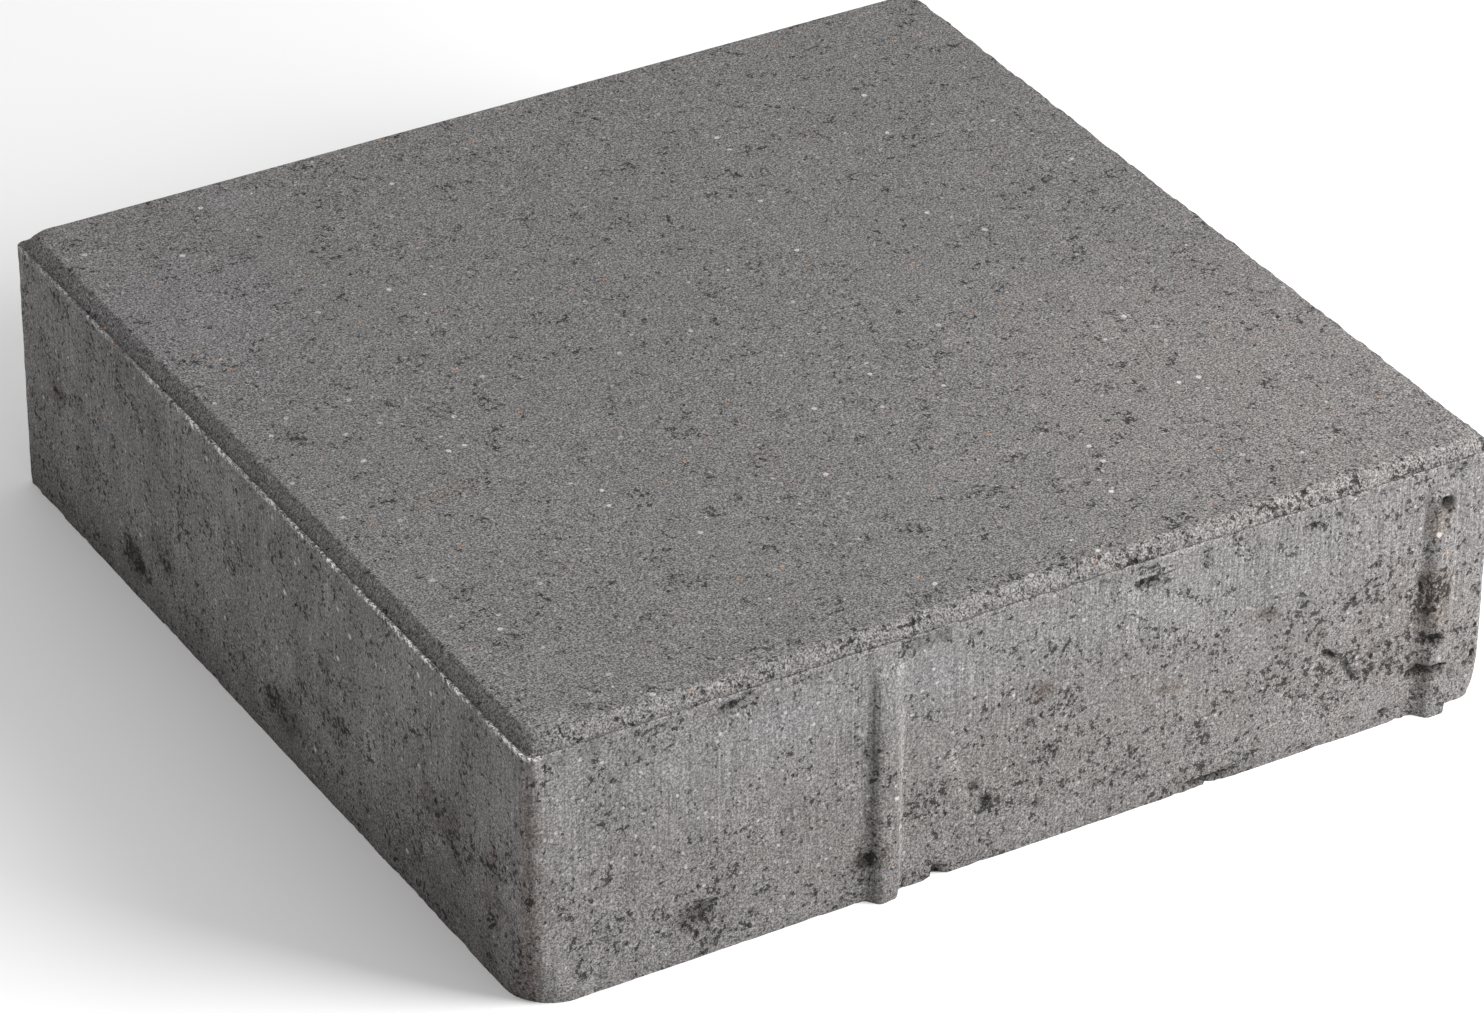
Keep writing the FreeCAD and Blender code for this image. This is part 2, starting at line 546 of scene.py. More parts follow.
@dataclass
class Surface:
    """What is known of each vertex while the slab is shaped, all in millimetres.

    Args:
        box: The place on the plain block.
        place: The place as shaped so far.
        outward: The level direction out of the joint face, zero on the walking face.
        inside: How far in from the outline the vertex lies.
        walking: Which vertices lie on the walking face or its chamfer.
        joint: Which vertices lie on each joint face.
    """

    box: np.ndarray
    place: np.ndarray
    outward: np.ndarray
    inside: np.ndarray
    walking: np.ndarray
    joint: dict[Joint, np.ndarray]


@dataclass
class Slab:
    """The cast slab: block, chamfer, burr, ribs, worn corners and weathered faces.

    Sizes are in millimetres. The overall sizes are read from the CAD node's box.

    Args:
        corner_radius: Plan radius of the sound upright corners.
        plate_radius: Plan radius of the walking face's own corners.
        chamfer_inset: Width of the chamfer and burr together.
        rim_drop: How far the chamfer's foot lies below the walking face.
        burr_width: Width of the burr along the rim.
        burr_height: Height of the burr over the chamfer's foot.
        ribs: The spacer ribs.
        wears: The worn foot corners.
    """

    corner_radius: float = 3.0
    plate_radius: float = 9.0
    chamfer_inset: float = 4.0
    rim_drop: float = 4.5
    burr_width: float = 1.35
    burr_height: float = 0.75
    ribs: tuple[Rib, ...] = (Rib(105.5), Rib(280.0))
    wears: tuple[Wear, ...] = (Wear(-1, -1, 14.0, 30.0), Wear(1, -1, 7.0, 14.0))

    def __post_init__(self) -> None:
        """Read the overall sizes from the CAD node."""
        low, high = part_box(NODE)
        self.half = (high[0] - low[0]) / 2 / MM
        self.height = (high[2] - low[2]) / MM

    def build(self) -> bpy.types.Object:
        """Model the slab and give it its marks.

        Returns:
            The finished piece.
        """
        piece = self._gridded_block()
        mesh = piece.data
        flat = np.empty(len(mesh.vertices) * 3)
        mesh.vertices.foreach_get("co", flat)
        surface = self._read(flat.reshape(-1, 3) / MM)
        self._round_corners(surface)
        self._press_rim(surface)
        self._raise_ribs(surface)
        depth = self._weather(surface)
        self._write_marks(mesh, surface, depth)
        mesh.vertices.foreach_set("co", (surface.place * MM).ravel())
        mesh.update()
        self._close_bed(piece)
        return piece

    def _gridded_block(self) -> bpy.types.Object:
        """A block open at the bed, cut into a grid that is finest at its rim and ribs.

        Returns:
            The block, at its size and place.
        """
        bpy.ops.object.select_all(action="DESELECT")
        side = 2 * self.half * MM
        tall = self.height * MM
        bpy.ops.mesh.primitive_cube_add(size=1.0, location=(0.0, 0.0, tall / 2))
        piece = bpy.context.active_object
        piece.name = "slab_casting"
        piece.data.name = "slab_casting"
        start_edit(piece)
        bpy.ops.transform.resize(value=(side, side, tall))
        end_edit()
        piece.data.transform(piece.matrix_world)
        piece.location = (0.0, 0.0, 0.0)
        start_edit(piece)
        self._open_bed(piece)
        rim = (self.half - RIM_ZONE) * MM
        columns = ((-self.half * MM, -rim, 11), (-rim, -0.095, 38), (-0.095, -0.052, 33),
                   (-0.052, -0.034, 17),
                   (-0.034, 0.030, 50), (0.030, 0.080, 38), (0.080, 0.124, 30), (0.124, rim, 17),
                   (rim, self.half * MM, 11))
        rows = ((-self.half * MM, -rim, 11), (-rim, -0.070, 42), (-0.070, 0.0, 41), (0.0, 0.070, 33),
                (0.070, rim, 33), (rim, self.half * MM, 11))
        layers = ((0.0, 0.006, 4), (0.006, 0.042, 23), (0.042, 0.076, 21), (0.076, tall, 6))
        for axis, zones in enumerate((columns, rows, layers)):
            for low, _, _ in zones[1:]:
                cut_at(piece, axis, low)
        bpy.ops.mesh.select_mode(type="EDGE")
        for axis, zones in enumerate((columns, rows, layers)):
            for low, high, cuts in zones:
                slice_strip(piece, axis, low, high, cuts)
        end_edit()
        return piece

    def _open_bed(self, piece: bpy.types.Object) -> None:
        """Take the block's bottom face off, so that it isn't cut up with the rest.

        Args:
            piece: The block, open in edit mode.
        """
        bpy.ops.mesh.select_mode(type="FACE")
        bpy.ops.mesh.select_all(action="DESELECT")
        grid = bmesh.from_edit_mesh(piece.data)
        for face in grid.faces:
            if face.normal.z < -0.9:
                face.select_set(True)
        bmesh.update_edit_mesh(piece.data)
        bpy.ops.mesh.delete(type="FACE")

    def _close_bed(self, piece: bpy.types.Object) -> None:
        """Close the bed with one face and smooth the shading.

        Args:
            piece: The shaped slab.
        """
        start_edit(piece)
        bpy.ops.mesh.select_mode(type="EDGE")
        bpy.ops.mesh.select_all(action="DESELECT")
        bpy.ops.mesh.select_non_manifold(
            extend=False, use_multi_face=False, use_non_contiguous=False, use_verts=False
        )
        bpy.ops.mesh.edge_face_add()
        bpy.ops.mesh.select_all(action="SELECT")
        bpy.ops.mesh.normals_make_consistent(inside=False)
        end_edit()
        bpy.ops.object.shade_smooth_by_angle(angle=math.radians(55))

    def _read(self, box: np.ndarray) -> Surface:
        """Sort the block's vertices by the face they lie on.

        Args:
            box: The vertices of the plain block.

        Returns:
            The surface, not shaped yet.
        """
        walking = box[:, 2] > self.height - 1e-4
        joint = {}
        for face in Joint:
            reach = box[:, 0] * face.value[0] + box[:, 1] * face.value[1]
            joint[face] = reach > self.half - 1e-4
        outward = np.zeros_like(box)
        return Surface(box, box.copy(), outward, np.zeros(len(box)), walking, joint)

    def _corner_radii(self, box: np.ndarray) -> np.ndarray:
        """The plan radius that holds at each vertex: the sound one, or more where a foot is worn.

        Args:
            box: The vertices of the plain block.

        Returns:
            One radius a vertex.
        """
        radii = np.full(len(box), self.corner_radius)
        for wear in self.wears:
            near = (box[:, 0] * wear.side_x > 0) & (box[:, 1] * wear.side_y > 0)
            share = np.clip(1.0 - box[:, 2] / wear.height, 0.0, 1.0) ** 1.7
            radii = np.where(near, self.corner_radius + (wear.radius - self.corner_radius) * share, radii)
        return radii

    def _round_corners(self, surface: Surface) -> None:
        """Bend the block's square corners round in plan.

        Args:
            surface: The surface to bend.
        """
        box = surface.box
        radii = self._corner_radii(box)
        core = np.clip(box[:, :2], -(self.half - radii)[:, None], (self.half - radii)[:, None])
        arm = box[:, :2] - core
        square = np.abs(arm).max(axis=1)
        length = np.maximum(np.linalg.norm(arm, axis=1), 1e-9)
        surface.place[:, :2] = core + arm * (square / length)[:, None]
        surface.inside = np.where(
            square > 1e-9, radii - square, np.minimum(*(self.half - np.abs(box[:, :2])).T)
        )
        edge = np.zeros((len(box), 2))
        for face, on_face in surface.joint.items():
            edge[on_face] += np.array(face.value)
        round_part = (np.abs(arm) > 1e-9).all(axis=1)
        edge = np.where(round_part[:, None], arm, edge)
        edge /= np.maximum(np.linalg.norm(edge, axis=1), 1e-9)[:, None]
        surface.outward[:, :2] = np.where((surface.inside < ON_OUTLINE)[:, None], edge, 0.0)

    def _plate_gap(self, place: np.ndarray) -> np.ndarray:
        """How far outside the walking face's own outline each place is.

        Args:
            place: Shaped places.

        Returns:
            The distance, and 0 inside that outline.
        """
        straight = self.half - self.chamfer_inset - self.plate_radius
        past = np.maximum(np.abs(place[:, :2]) - straight, 0.0)
        return np.maximum(np.linalg.norm(past, axis=1) - self.plate_radius, 0.0)

    def _press_rim(self, surface: Surface) -> None:
        """Press the chamfer in, leave the crumbly burr round it, and fit the joint faces to the burr.

        Args:
            surface: The surface to shape.
        """
        place = surface.place
        flat = place * np.array([1.0, 1.0, 0.0])
        gap = self._plate_gap(place)
        share = gap / np.maximum(gap + surface.inside, 1e-9)
        incline = np.clip(share * self.chamfer_inset / (self.chamfer_inset - self.burr_width), 0.0, 1.0)
        past = np.abs(place[:, :2]).min(axis=1) - (self.half - self.chamfer_inset - self.plate_radius)
        incline = incline ** (1.0 + 2.4 * fade(past, 0.0, 6.0))
        chamfer = self.height - self.rim_drop * (incline - 0.07 * np.sin(incline * math.pi))
        crumbs = 0.55 * Noise(11).layered(flat, 3.1, 3) + 0.45 * Noise(12).layered(flat, 0.9, 2)
        broken = fade(Noise(13).layered(flat, 9.0, 3), 0.42, 0.85)
        left = fade(-place[:, 0], self.half - 8.0, self.half - 4.0)
        rise = self.burr_height * (0.85 + (0.75 - 0.35 * left) * crumbs) * (1.0 - 0.9 * broken)
        bump = fade(surface.inside, self.burr_width, 0.45 * self.burr_width)
        rim = chamfer + np.maximum(rise, -0.25) * bump
        top = np.where(gap > 0.0, rim, self.height)
        height = np.where(surface.walking, top, 0.0)
        rim_height = np.where(surface.inside < ON_OUTLINE, rim, self.height)
        place[:, 2] = np.where(surface.walking, height, surface.box[:, 2] * rim_height / self.height)

    def across(self, surface: Surface, face: Joint) -> np.ndarray:
        """Distance along a joint face from its left-hand end as seen from outside.

        Args:
            surface: The surface.
            face: Which joint face.

        Returns:
            One distance a vertex.
        """
        x, y = surface.box[:, 0], surface.box[:, 1]
        along = {Joint.FRONT: x, Joint.RIGHT: y, Joint.BACK: -x, Joint.LEFT: -y}[face]
        return along + self.half

    def _raise_ribs(self, surface: Surface) -> None:
        """Push the spacer ribs out of the front joint face.

        Args:
            surface: The surface to shape.
        """
        front = surface.joint[Joint.FRONT]
        across = self.across(surface, Joint.FRONT)
        uneven = 1.0 + 0.05 * Noise(21).layered(surface.place, 7.0, 2)
        for rib in self.ribs:
            proud = rib.proud(across, surface.place[:, 2]) * uneven
            surface.place[:, 1] -= np.where(front, np.minimum(proud, rib.foot_proud), 0.0)

    def _weather(self, surface: Surface) -> np.ndarray:
        """Sink the hollows, chips and general unevenness into the surface.

        Args:
            surface: The surface to shape.

        Returns:
            How deep each vertex was sunk, in millimetres.
        """
        place = surface.place
        ragged = Noise(31).layered(place, 2.6, 3)
        upright = ~surface.walking | (surface.inside < ON_OUTLINE)
        sunk = np.zeros(len(place))
        for face, hollows in ((Joint.FRONT, FRONT_HOLLOWS), (Joint.LEFT, LEFT_HOLLOWS)):
            across = self.across(surface, face)
            for hollow in hollows:
                cover = hollow.cover(across, place[:, 2], ragged)
                sunk = np.maximum(sunk, np.where(surface.joint[face], hollow.depth * cover, 0.0))
        rough = 0.10 + 0.10 * Noise(32).layered(place, 16.0, 3) + 0.10 * Noise(33).layered(place, 4.0, 3)
        gap, _ = Noise(34).pebbles(place, 5.2)
        picked = fade(Noise(35).layered(place, 26.0, 2), 0.05, 0.55)
        pocks = 0.75 * fade(gap, 0.34, 0.12) * picked
        foot = fade(place[:, 2], 3.2, 0.0)
        chips = foot * (0.20 + 0.40 * fade(Noise(36).layered(place, 8.0, 3), 0.1, 0.7))
        under = fade(place[:, 2], 71.5, 75.0) * fade(place[:, 2], 79.0, 77.0)
        under *= fade(Noise(39).layered(place, 5.0, 3), 0.0, 0.5)
        under = np.where(surface.joint[Joint.FRONT], under, 0.0)
        side_sunk = np.clip(rough, 0.0, 1.0) + pocks + chips + sunk + 0.7 * under
        side_sunk *= 0.12 + 0.88 * fade(surface.box[:, 2], self.height - 0.2, self.height - 3.2)
        surface.place[:, :2] -= surface.outward[:, :2] * np.where(upright, side_sunk, 0.0)[:, None]
        front_rim = fade(place[:, 1], -self.half + 14.0, -self.half + 3.0)
        fine = 0.5 + 0.5 * Noise(37).layered(place, 2.6, 3)
        top_sunk = 0.06 + 0.05 * Noise(38).layered(place, 30.0, 2) + (0.05 + 0.16 * front_rim) * fine
        inner = surface.walking & (surface.inside > ON_OUTLINE)
        surface.place[:, 2] -= np.where(inner, np.clip(top_sunk, 0.0, 1.0), 0.0)
        return np.where(upright, sunk + pocks + 0.9 * under, 0.0)

    def _write_marks(self, mesh: bpy.types.Mesh, surface: Surface, depth: np.ndarray) -> None:
        """Store the tint, with its painted shade and light, the coarseness, the drag marks and the burr's
        painted highlight as attributes for the concrete finish.

        Args:
            mesh: The slab's mesh.
            surface: The shaped surface.
            depth: How deep each vertex was sunk.
        """
        place = surface.place
        count = len(place)
        tint = np.ones((count, 3))
        grit = np.full(count, 0.22)
        drag = np.zeros(count)
        ragged = Noise(41).layered(place, 5.0, 4)
        cloud = Noise(42).layered(place, 45.0, 4)
        tint *= (1.0 + 0.035 * cloud)[:, None]
        upright = ~surface.walking
        front, left = surface.joint[Joint.FRONT], surface.joint[Joint.LEFT]
        back = surface.joint[Joint.BACK] | surface.joint[Joint.RIGHT]
        groups = (
            (front & upright, self.across(surface, Joint.FRONT), place[:, 2], FRONT_PATCHES),
            (left & upright, self.across(surface, Joint.LEFT), place[:, 2], LEFT_PATCHES),
            (surface.walking, place[:, 0] + self.half, place[:, 1] + self.half, TOP_PATCHES),
        )
        for chosen, across, up, patches in groups:
            for patch in patches:
                cover = np.where(chosen, patch.cover(across, up, ragged), 0.0)
                tint *= 1.0 + (np.array(patch.tint) - 1.0) * cover[:, None]
                grit += patch.grit * cover
        # The left joint face darker towards the bottom, fading out about 34 mm up.
        left_low_darkening = np.where(left & upright, fade(place[:, 2] + 7.0 * ragged, 34.0, -4.0), 0.0)
        tint *= 1.0 + (np.array((0.60, 0.57, 0.58)) - 1.0) * left_low_darkening[:, None]
        upright_streaks = Noise(46).layered(place * np.array([1.0, 1.0, 0.22]), 8.0, 4)
        clouds = 0.13 * Noise(43).layered(place, 11.0, 4) + 0.20 * upright_streaks
        mottled = np.where(left & upright, clouds, np.where(upright, 0.09 * upright_streaks, 0.0))
        tint *= (1.0 + mottled)[:, None]
        foot = np.where(upright, fade(place[:, 2], 5.0, 0.0), 0.0)
        tint *= (1.0 - 0.10 * foot)[:, None]
        grit += np.where(upright, 0.18, 0.0) + np.where(back, 0.1, 0.0)
        clear = 0.40 + 0.45 * fade(place[:, 2], 15.0, 50.0) + 0.25 * Noise(44).layered(place, 18.0, 2)
        drag += np.where(upright, clear, 0.0)
        gap = self._plate_gap(place)
        chamfer = np.where(surface.walking & (gap > 0), fade(surface.inside, 0.8, 1.3), 0.0)
        lee = fade(-place[:, 0], self.half - 5.5, self.half - 3.8)
        # Painted shade on the chamfer along the left rim, the side turned away from the lamp.
        tint *= (1.0 - 0.12 * chamfer * lee)[:, None]
        grit += chamfer * (0.26 - 0.40 * lee)
        tint *= (1.0 - 0.03 * chamfer * (1.0 - lee))[:, None]
        crest = fade(place[:, 2], self.height - 4.6, self.height - 3.9)
        crest = np.where(surface.inside < self.burr_width, crest, 0.0)
        crest = np.where(surface.walking, crest, fade(place[:, 2], self.height - 5.4, self.height - 4.4))
        spots = fade(Noise(45).layered(place, 5.0, 3), -0.6, 0.5)
        along_left = 0.35 + 0.65 * fade(self.across(surface, Joint.LEFT), 50.0, 150.0)
        # The burr crest's pale crumbs, partly their own colour and partly a painted highlight, strongest
        # along the left rim; stored as the rim attribute.
        rim = crest * (0.30 + 0.70 * spots) * (0.26 + 2.1 * lee * along_left)
        store(mesh, "rim", "FLOAT", rim)
        grit += 0.15 * crest + 0.6 * fade(depth, 0.2, 1.0)
        # Painted shade in the hollows and in the pitted strip under the front burr, darker the deeper they
        # sink.
        tint *= (1.0 - 0.58 * fade(depth, 0.35, 1.7))[:, None]
        store(mesh, "tint", "FLOAT_COLOR", np.hstack([tint, np.ones((count, 1))]))
        store(mesh, "grit", "FLOAT", np.clip(grit, 0.0, 1.5))
        store(mesh, "drag", "FLOAT", np.clip(drag, 0.0, 1.0))


def store(mesh: bpy.types.Mesh, name: str, kind: str, values: np.ndarray) -> None:
    """Store one value a vertex on a mesh.

    Args:
        mesh: The mesh.
        name: The attribute's name.
        kind: FLOAT or FLOAT_COLOR.
        values: One row a vertex.
    """
    layer = mesh.attributes.new(name=name, type=kind, domain="POINT")
    layer.data.foreach_set("color" if kind == "FLOAT_COLOR" else "value", values.ravel())


# ---- finishes


class Board:
    """A material's node board, with short ways to add and join nodes."""

    def __init__(self, name: str) -> None:
        """Start a material with an empty board.

        Args:
            name: The material's name.
        """
        self.material = bpy.data.materials.new(name)
        self.material.use_nodes = True
        self.tree = self.material.node_tree
        self.tree.nodes.clear()

    def add(self, kind: str, inputs: dict | None = None, **settings: object) -> bpy.types.Node:
        """Add a node.

        Args:
            kind: The node's type, without its ShaderNode prefix.
            inputs: For each input socket, by name or number, the value or the socket that feeds it.
            **settings: The node's own settings.

        Returns:
            The new node.
        """
        node = self.tree.nodes.new("ShaderNode" + kind)
        for key, value in settings.items():
            setattr(node, key, value)
        for key, value in (inputs or {}).items():
            if isinstance(value, Socket):
                self.tree.links.new(value, node.inputs[key])
            else:
                node.inputs[key].default_value = value
        return node

    def math(self, operation: str, *values: object, clamp: bool = False) -> Socket:
        """Work out a number from numbers.

        Args:
            operation: The sum to do.
            *values: What it is done to.
            clamp: Whether the result stays from 0 to 1.

        Returns:
            The result's socket.
        """
        return self.add("Math", dict(enumerate(values)), operation=operation, use_clamp=clamp).outputs[0]

    def ramp(self, value: Socket, low: object, high: object, to_low: float = 0.0,
             to_high: float = 1.0) -> Socket:
        """Ease a number from one range into another.

        Args:
            value: The number.
            low: Where the result is to_low.
            high: Where the result is to_high.
            to_low: The first end of the result.
            to_high: The other end.

        Returns:
            The result's socket.
        """
        inputs = {"Value": value, "From Min": low, "From Max": high, "To Min": to_low, "To Max": to_high}
        return self.add("MapRange", inputs, interpolation_type="SMOOTHSTEP").outputs[0]

    def scaled(self, colour: Socket, factor: Socket) -> Socket:
        """Multiply a colour by a number.

        Args:
            colour: The colour.
            factor: The number.

        Returns:
            The result's socket.
        """
        return self.add("VectorMath", {0: colour, "Scale": factor}, operation="SCALE").outputs[0]

    def attribute(self, name: str, output: str) -> Socket:
        """Read one of the mesh's own attributes.

        Args:
            name: The attribute.
            output: Fac or Color.

        Returns:
            Its socket.
        """
        return self.add("Attribute", attribute_name=name).outputs[output]


@dataclass(frozen=True)
class PressedConcrete:
    """Grey vibro-pressed concrete: sand grains, pores, white and rusty specks, drag marks, with painted
    shade in the pores, grain gaps and hollows and a painted highlight on the burr crest.

    Sizes are in millimetres.

    Args:
        base: The concrete's own colour.
        grain: Width of the finest sand grains.
        sand: Width of the larger sand grains.
        speck_cell: Spacing of the white specks.
        rust_cell: Spacing of the rusty grains.
        pore_cell: Spacing of the pores.
        drag_width: Width of one drag mark.
        roughness: How matt the surface is.
    """

    base: tuple[float, float, float] = (0.150, 0.143, 0.141)
    grain: float = 0.50
    sand: float = 0.95
    speck_cell: float = 7.5
    rust_cell: float = 12.0
    pore_cell: float = 2.6
    drag_width: float = 0.70
    roughness: float = 0.93

    def make(self) -> bpy.types.Material:
        """Build the material.

        Returns:
            The concrete.
        """
        board = Board("pressed_concrete")
        place = board.add("TexCoord").outputs["Object"]
        tint = board.attribute("tint", "Color")
        grit = board.attribute("grit", "Fac")
        drag = board.attribute("drag", "Fac")
        fine = self._noise(board, place, self.grain, 1.0)
        sand = self._noise(board, place, self.sand, 2.0)
        rim = board.attribute("rim", "Fac")
        broad = self._noise(board, place, 14.0, 3.0)
        pores = self._pores(board, place, grit)
        cracks = self._crevices(board, place, grit)
        specks = self._specks(board, place, self.speck_cell, 0.13, 0.60)
        small_specks = self._specks(board, place, self.speck_cell * 0.36, 0.24, 0.42)
        rust = self._specks(board, place, self.rust_cell * 0.6, 0.12, 0.5)
        marks = self._drag_marks(board, place)
        dragged = board.math("MULTIPLY", marks, drag)

        calm = board.math("MULTIPLY_ADD", drag, -0.42, 1.0)
        light = board.math("MULTIPLY_ADD", board.ramp(fine, 0.28, 0.72, -0.66, 0.70), calm, 1.0)
        light = board.math("MULTIPLY", light, board.ramp(sand, 0.30, 0.70, 0.72, 1.28))
        light = board.math("MULTIPLY", light, board.math("MULTIPLY_ADD", broad, 0.22, 0.89))
        light = board.math("MULTIPLY", light, board.math("MULTIPLY_ADD", dragged, 0.62, 1.0))
        # Painted shade in the pores.
        light = board.math("MULTIPLY", light, board.math("MULTIPLY_ADD", pores, -0.68, 1.0))
        # Painted shade in the gaps between grains.
        light = board.math("MULTIPLY", light, board.math("MULTIPLY_ADD", cracks, -0.76, 1.0))
        # Painted highlight on the burr crest: the rim attribute, broken into crumbs, brightens the colour.
        crumbs = board.ramp(self._noise(board, place, 1.0, 3.0), 0.42, 0.64, 0.0, 1.0)
        light = board.math("MULTIPLY_ADD", board.math("MULTIPLY", rim, crumbs), 2.5, light)
        light = board.math("MULTIPLY_ADD", small_specks, 0.95, light)
        light = board.math("MULTIPLY_ADD", specks, 2.0, light)
        plain = board.add("VectorMath", {0: tint, 1: self.base}, operation="MULTIPLY").outputs[0]
        rusty = board.add(
            "Mix", {0: rust, "A": plain, "B": (0.26, 0.17, 0.12, 1.0)}, data_type="RGBA"
        ).outputs["Result"]
        colour = board.scaled(rusty, light)

        height = board.math("MULTIPLY", fine, 0.13)
        height = board.math("MULTIPLY_ADD", sand, board.math("MULTIPLY_ADD", grit, 0.20, 0.06), height)
        height = board.math("MULTIPLY_ADD", pores, -0.55, height)
        height = board.math("MULTIPLY_ADD", cracks, -0.45, height)
        height = board.math("MULTIPLY_ADD", dragged, 0.05, height)
        bump = board.add("Bump", {"Strength": 0.85, "Distance": MM, "Height": height})
        shader = board.add("BsdfPrincipled", {
            "Base Color": colour,
            "Roughness": self.roughness,
            "Specular IOR Level": 0.22,
            "Normal": bump.outputs[0],
        })
        board.add("OutputMaterial", {"Surface": shader.outputs[0]})
        return board.material

    def _noise(self, board: Board, place: Socket, width: float, detail: float) -> Socket:
        """Smooth noise of a given width.

        Args:
            board: The board to add to.
            place: The coordinates.
            width: Width of one lump in millimetres.
            detail: How many finer layers it has.

        Returns:
            Its value from about 0 to 1.
        """
        inputs = {"Vector": place, "Scale": 1.0 / (width * MM), "Detail": detail, "Roughness": 0.6}
        return board.add("TexNoise", inputs).outputs[0]

    def _warped(self, board: Board, place: Socket, width: float, reach: float) -> Socket:
        """Coordinates pushed about, so that round cells come out ragged.

        Args:
            board: The board to add to.
            place: The coordinates.
            width: Width of one push in millimetres.
            reach: How far it pushes in millimetres.

        Returns:
            The new coordinates.
        """
        inputs = {"Vector": place, "Scale": 1.0 / (width * MM), "Detail": 2.0}
        push = board.add("TexNoise", inputs).outputs["Color"]
        centred = board.add("VectorMath", {0: push, 1: (0.5, 0.5, 0.5)}, operation="SUBTRACT").outputs[0]
        shift = board.add("VectorMath", {0: centred, "Scale": 2 * reach * MM}, operation="SCALE").outputs[0]
        return board.add("VectorMath", {0: place, 1: shift}, operation="ADD").outputs[0]

    def _pores(self, board: Board, place: Socket, grit: Socket) -> Socket:
        """Open pores, more and larger where the surface is coarse.

        Args:
            board: The board to add to.
            place: The coordinates.
            grit: The coarseness.

        Returns:
            1 in a pore and 0 outside.
        """
        warped = self._warped(board, place, 1.2, 0.85)
        cells = board.add("TexVoronoi", {"Vector": warped, "Scale": 1.0 / (self.pore_cell * MM)})
        chance = board.add("SeparateColor", {0: cells.outputs["Color"]}).outputs[0]
        size = board.math("MAXIMUM", board.math("MULTIPLY_ADD", grit, 0.17, 0.085), 0.01)
        size = board.math("MULTIPLY", size, board.ramp(chance, 0.25, 0.95, 0.25, 1.5))
        inner = board.math("MULTIPLY", size, 0.55)
        return board.ramp(cells.outputs["Distance"], size, inner)

    def _crevices(self, board: Board, place: Socket, grit: Socket) -> Socket:
        """Gaps between the grains of a crumbly surface, which the finish darkens as painted shade.

        Args:
            board: The board to add to.
            place: The coordinates.
            grit: The coarseness.

        Returns:
            1 in a gap and 0 outside.
        """
        inputs = {"Vector": place, "Scale": 1.0 / (1.7 * MM), "Detail": 4.0, "Roughness": 0.70}
        lumps = board.add("TexNoise", inputs).outputs[0]
        where = board.ramp(self._noise(board, place, 9.0, 4.0), 0.40, 0.64)
        level = board.math("MULTIPLY_ADD", where, 0.120, 0.305)
        level = board.math("MULTIPLY_ADD", grit, 0.085, level)
        lower = board.math("SUBTRACT", level, 0.045)
        return board.ramp(lumps, level, lower)

    def _specks(self, board: Board, place: Socket, cell: float, size: float,
                share: float) -> Socket:
        """Scattered single grains.

        Args:
            board: The board to add to.
            place: The coordinates.
            cell: Their spacing in millimetres.
            size: Half their width as a share of the spacing.
            share: The share of the cells that hold one.

        Returns:
            1 in a grain and 0 outside.
        """
        warped = self._warped(board, place, 1.3, 0.25)
        cells = board.add("TexVoronoi", {"Vector": warped, "Scale": 1.0 / (cell * MM)})
        chance = board.add("SeparateColor", {0: cells.outputs["Color"]}).outputs[1]
        present = board.ramp(chance, 1.0 - share, 1.0, 0.0, 1.0)
        grain = board.ramp(cells.outputs["Distance"], size, size * 0.6)
        return board.math("MULTIPLY", grain, present)

    def _drag_marks(self, board: Board, place: Socket) -> Socket:
        """Upright marks that the mould wall left as the slab was pushed out.

        Args:
            board: The board to add to.
            place: The coordinates.

        Returns:
            From -0.5 in a scratch to 0.5 on a ridge.
        """
        stretched = board.add("Mapping", {"Vector": place, "Scale": (1.0, 1.0, 0.03)}).outputs[0]
        scale = 1.0 / (self.drag_width * MM)
        inputs = {"Vector": stretched, "Scale": scale, "Detail": 3.0, "Roughness": 0.65}
        lines = board.add("TexNoise", inputs).outputs[0]
        clear = board.ramp(self._noise(board, place, 22.0, 2.0), 0.35, 0.62, 0.35, 1.0)
        return board.math("MULTIPLY", board.ramp(lines, 0.33, 0.67, -0.5, 0.5), clear)


@dataclass(frozen=True)
class StudioPaper:
    """The plain pale paper that the studio floor is covered with.

    Args:
        colour: The paper's colour.
    """

    colour: tuple[float, float, float, float] = (0.93, 0.93, 0.93, 1.0)

    def make(self) -> bpy.types.Material:
        """Build the material.

        Returns:
            The paper.
        """
        board = Board("studio_paper")
        shader = board.add("BsdfPrincipled", {"Base Color": self.colour, "Roughness": 0.95})
        board.add("OutputMaterial", {"Surface": shader.outputs[0]})
        return board.material


# ---- studio


@dataclass(frozen=True)
class SoftLight:
    """A large soft lamp, in metres and watts.

    Args:
        name: The lamp's name.
        place: Where it stands.
        aim: What it looks at.
        size: Its width and height.
        power: Its power.
    """

    name: str
    place: tuple[float, float, float]
    aim: tuple[float, float, float]
    size: float
    power: float

    def build(self) -> bpy.types.Object:
        """Set the lamp up.

        Returns:
            The lamp.
        """
        data = bpy.data.lights.new(self.name, "AREA")
        data.shape = "SQUARE"
        data.size = self.size
        data.energy = self.power
        lamp = bpy.data.objects.new(self.name, data)
        bpy.context.scene.collection.objects.link(lamp)
        lamp.location = self.place
        lamp.rotation_euler = (Vector(self.aim) - Vector(self.place)).to_track_quat("-Z", "Y").to_euler()
        return lamp


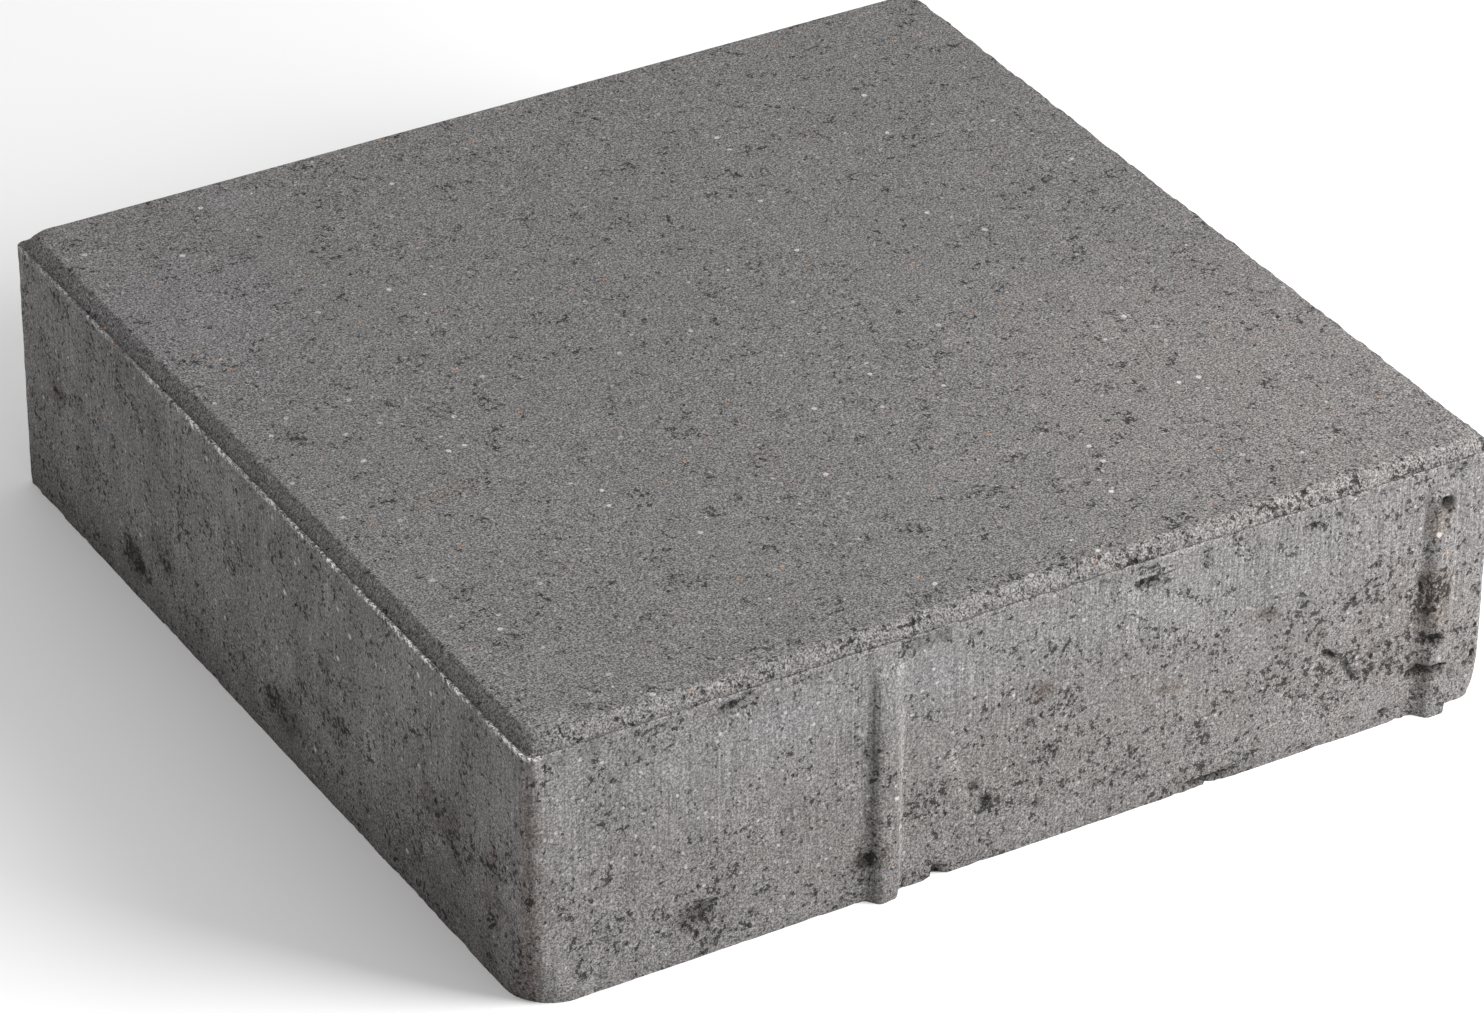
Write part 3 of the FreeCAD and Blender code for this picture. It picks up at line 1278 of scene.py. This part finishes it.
@dataclass(frozen=True)
class Studio:
    """A pale floor, soft light from the right, and the camera.

    Args:
        camera_place: Where the camera stands, in metres.
        camera_turn: Its turn about X, Y and Z in degrees.
        lens: Its focal length in millimetres on a 36 mm wide sensor.
        lamps: The lamps.
        sky: Strength of the even light from all round.
    """

    camera_place: tuple[float, float, float] = (-0.80075, -1.34657, 1.01326)
    camera_turn: tuple[float, float, float] = (57.768, -0.447, -30.510)
    lens: float = 161.40
    lamps: tuple[SoftLight, ...] = (
        SoftLight("key", (0.60, -0.74, 0.56), (0.0, 0.0, 0.04), 0.55, 17.0),
    )
    sky: float = 0.71

    def build(self) -> None:
        """Lay the floor, set the lamps and the camera, and even the sky."""
        self._floor()
        for lamp in self.lamps:
            lamp.build()
        self._camera()
        self._sky()
        bpy.context.scene.view_settings.view_transform = "Standard"

    def _floor(self) -> None:
        """Lay a large pale floor just under the slab."""
        bpy.ops.object.select_all(action="DESELECT")
        bpy.ops.mesh.primitive_plane_add(size=16.0, location=(0.0, 0.0, 0.0))
        floor = bpy.context.active_object
        floor.name = "studio_floor"
        floor.data.materials.append(StudioPaper().make())

    def _camera(self) -> None:
        """Set the camera up."""
        data = bpy.data.cameras.new("camera")
        data.sensor_width = 36.0
        data.sensor_fit = "HORIZONTAL"
        data.lens = self.lens
        data.clip_end = 50.0
        camera = bpy.data.objects.new("camera", data)
        bpy.context.scene.collection.objects.link(camera)
        camera.location = self.camera_place
        camera.rotation_euler = tuple(math.radians(angle) for angle in self.camera_turn)
        bpy.context.scene.camera = camera

    def _sky(self) -> None:
        """Give the world an even white light."""
        world = bpy.data.worlds.new("studio_sky")
        world.use_nodes = True
        backdrop = world.node_tree.nodes["Background"]
        backdrop.inputs["Color"].default_value = (1.0, 1.0, 1.0, 1.0)
        backdrop.inputs["Strength"].default_value = self.sky
        bpy.context.scene.world = world


# ---- main


def main() -> None:
    """Build the slab and the studio, in order."""
    logging.basicConfig(level=logging.INFO, format="%(name)s: %(message)s")
    slab = Slab().build()
    slab.data.materials.append(PressedConcrete().make())
    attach(slab, BODY)
    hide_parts(NODE)
    log.info("%s: %d faces", slab.name, len(slab.data.polygons))
    Studio().build()


if __name__ == "__main__":
    main()
